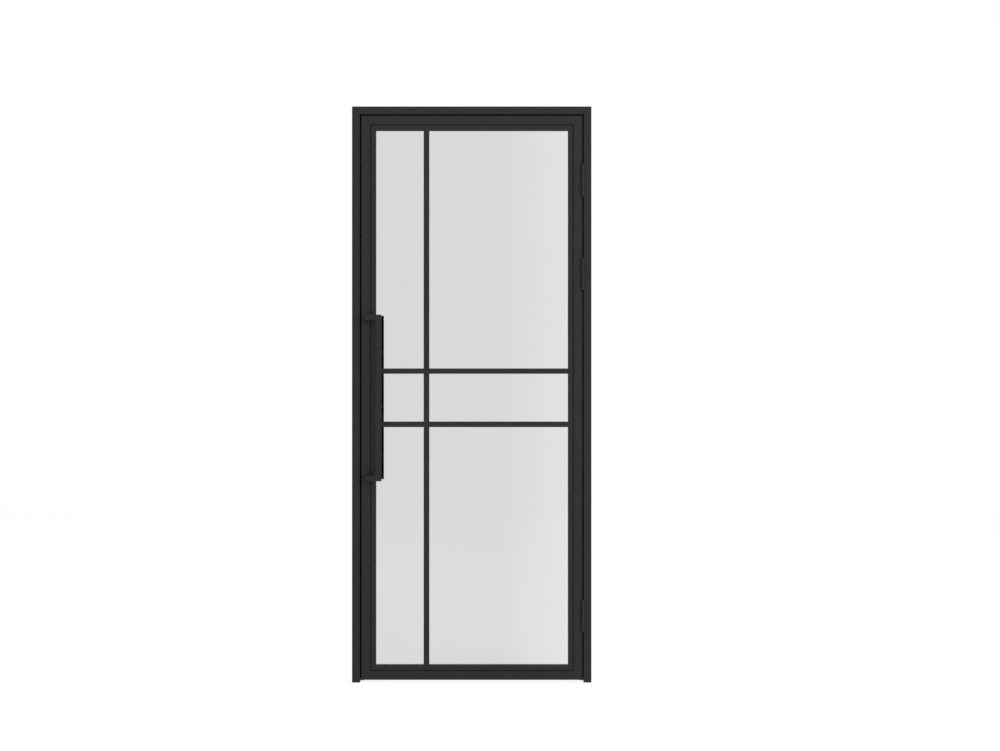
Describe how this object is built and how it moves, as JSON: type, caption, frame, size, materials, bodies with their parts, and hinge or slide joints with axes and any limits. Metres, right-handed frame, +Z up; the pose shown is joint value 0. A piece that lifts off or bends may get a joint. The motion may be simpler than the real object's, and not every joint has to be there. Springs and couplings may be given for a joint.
{
  "type": "framed glass interior door, single leaf in a rebated frame",
  "caption": "Slim black metal interior door: a clear glass leaf with applied glazing bars and offset pull handles, hung on barrel hinges in a rebated frame.",
  "frame": {"origin": "centre of the depth of the hinge jamb's outer face, at floor level", "axes": "+X out of the hinge jamb's outer face, into the wall beside it; the leaf lies on the -X side. +Y through the wall, away from the side that the hinges are on. +Z up."},
  "size_m": [0.8975, 0.142, 2.1595],
  "materials": {
    "black_profile": "matt black powder coat on extruded profiles",
    "hinge_steel": "matt black powder coat on steel",
    "handle_steel": "fine textured matt black powder coat on flat steel bar",
    "plated_steel": "zinc plated steel, hidden inside the profiles",
    "clear_glass": "clear polished laminated float glass",
    "seal_rubber": "matt black EPDM seal",
    "glazing_rubber": "matt black glazing tape"
  },
  "bodies": {
    "frame": {"hinge_jamb": "black_profile", "closing_jamb": "black_profile", "head_jamb": "black_profile", "hinge_side_seal": "seal_rubber", "closing_side_seal": "seal_rubber", "head_seal": "seal_rubber", "top_hinge_frame_wing": "hinge_steel", "middle_hinge_frame_wing": "hinge_steel", "bottom_hinge_frame_wing": "hinge_steel", "top_hinge_pin": "hinge_steel", "middle_hinge_pin": "hinge_steel", "bottom_hinge_pin": "hinge_steel", "frame_backing_plates": "plated_steel"},
    "leaf": {"hinge_stile": "black_profile", "closing_stile": "black_profile", "top_rail": "black_profile", "bottom_rail": "black_profile", "glass": "clear_glass", "setting_blocks": "glazing_rubber", "front_glazing_tape": "glazing_rubber", "back_glazing_tape": "glazing_rubber", "front_hinge_side_bead": "black_profile", "front_closing_side_bead": "black_profile", "front_top_bead": "black_profile", "front_bottom_bead": "black_profile", "back_hinge_side_bead": "black_profile", "back_closing_side_bead": "black_profile", "back_top_bead": "black_profile", "back_bottom_bead": "black_profile", "front_upright_bar": "black_profile", "front_upper_crossbar": "black_profile", "front_lower_crossbar": "black_profile", "back_upright_bar": "black_profile", "back_upper_crossbar": "black_profile", "back_lower_crossbar": "black_profile", "top_hinge_leaf_wing": "hinge_steel", "middle_hinge_leaf_wing": "hinge_steel", "bottom_hinge_leaf_wing": "hinge_steel", "leaf_backing_plates": "plated_steel", "front_handle": "handle_steel", "back_handle": "handle_steel", "handle_bolts": "plated_steel"}
  },
  "joints": [
    {"name": "leaf_swing", "type": "hinge", "parent": "frame", "child": "leaf", "pos_m": [-0.0315, -0.0574, 0], "axis": [0, 0, 1], "range_deg": [0, 170]}
  ]
}
